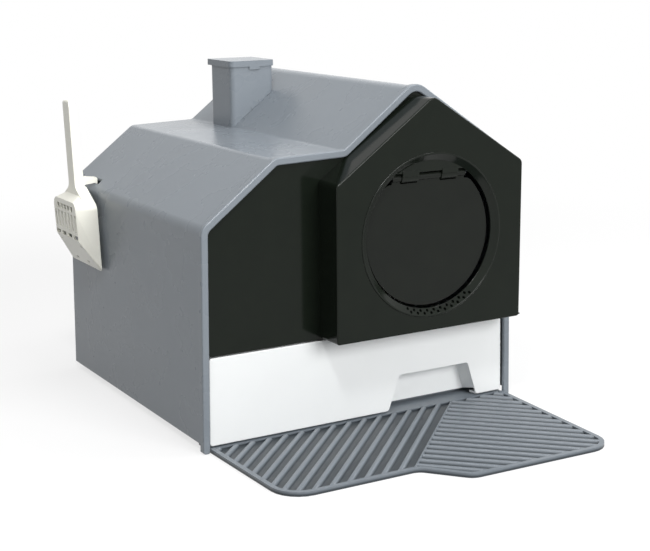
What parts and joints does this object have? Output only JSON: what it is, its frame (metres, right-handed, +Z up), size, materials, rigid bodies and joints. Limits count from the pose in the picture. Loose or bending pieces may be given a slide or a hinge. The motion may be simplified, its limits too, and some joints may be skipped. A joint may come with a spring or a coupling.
{
  "type": "drawer litter box",
  "caption": "House-shaped enclosed litter box: porch with a swinging round door, pull-out litter drawer, ribbed catching mat, filter chimney with hinged lid and a hanging sifting scoop",
  "frame": {"origin": "middle of the cabinet's footprint (front rim to back wall, left wall to right wall) on the floor plane, which is the base tray's flat underside", "axes": "+Z up; -Y is the front with the porch and drawer; +X to the right as seen from the front"},
  "size_m": [0.5309, 0.7345, 0.4815],
  "materials": {
    "grey_plastic": "moulded polypropylene, grey-blue, satin",
    "mat_plastic": "moulded polypropylene, grey-blue, satin, ribbed",
    "black_plastic": "moulded, near-black, high gloss",
    "smoked_plastic": "moulded, dark smoke, gloss",
    "white_plastic": "moulded polypropylene, white, satin",
    "ivory_plastic": "moulded polypropylene, ivory, satin",
    "screw_steel": "zinc-plated steel",
    "charcoal_foam": "activated-carbon foam, matt"
  },
  "bodies": {
    "cabinet": {"base_tray": "grey_plastic", "base_screws": "screw_steel", "cabinet_shell": "grey_plastic", "rear_panel": "grey_plastic", "rear_panel_screws": "screw_steel", "front_panel": "black_plastic", "front_panel_screws": "screw_steel", "entry_ring": "black_plastic", "entry_ring_screws": "screw_steel", "flap_hinge_pin": "screw_steel", "chimney_body": "grey_plastic", "filter_grid": "grey_plastic", "lid_hinge_pin": "screw_steel"},
    "drawer": {"litter_pan": "white_plastic", "drawer_front": "white_plastic", "drawer_screws": "screw_steel"},
    "door": {"flap_door": "smoked_plastic"},
    "lid": {"chimney_lid": "grey_plastic"},
    "filter": {"charcoal_filter": "charcoal_foam"},
    "mat": {"litter_mat": "mat_plastic"},
    "scoop_body": {"scoop": "ivory_plastic"}
  },
  "joints": [
    {"name": "drawer_slide", "type": "slide", "parent": "cabinet", "child": "drawer", "axis": [0, -1, 0], "range_m": [0, 0.3]},
    {"name": "door_swing", "type": "hinge", "parent": "cabinet", "child": "door", "pos_m": [0.08, -0.268, 0.344], "axis": [1, 0, 0], "range_deg": [-75, 75]},
    {"name": "lid_hinge", "type": "hinge", "parent": "cabinet", "child": "lid", "pos_m": [0.003, 0.1665, 0.4755], "axis": [-1, 0, 0], "range_deg": [0, 100]},
    {"name": "filter_lift", "type": "slide", "parent": "cabinet", "child": "filter", "axis": [0, 0, 1], "range_m": [0, 0.02]},
    {"name": "mat_pull", "type": "slide", "parent": "cabinet", "child": "mat", "axis": [0, -1, 0], "range_m": [0, 0.08]},
    {"name": "scoop_lift", "type": "slide", "parent": "cabinet", "child": "scoop_body", "axis": [0, 0, 1], "range_m": [0, 0.08]}
  ]
}
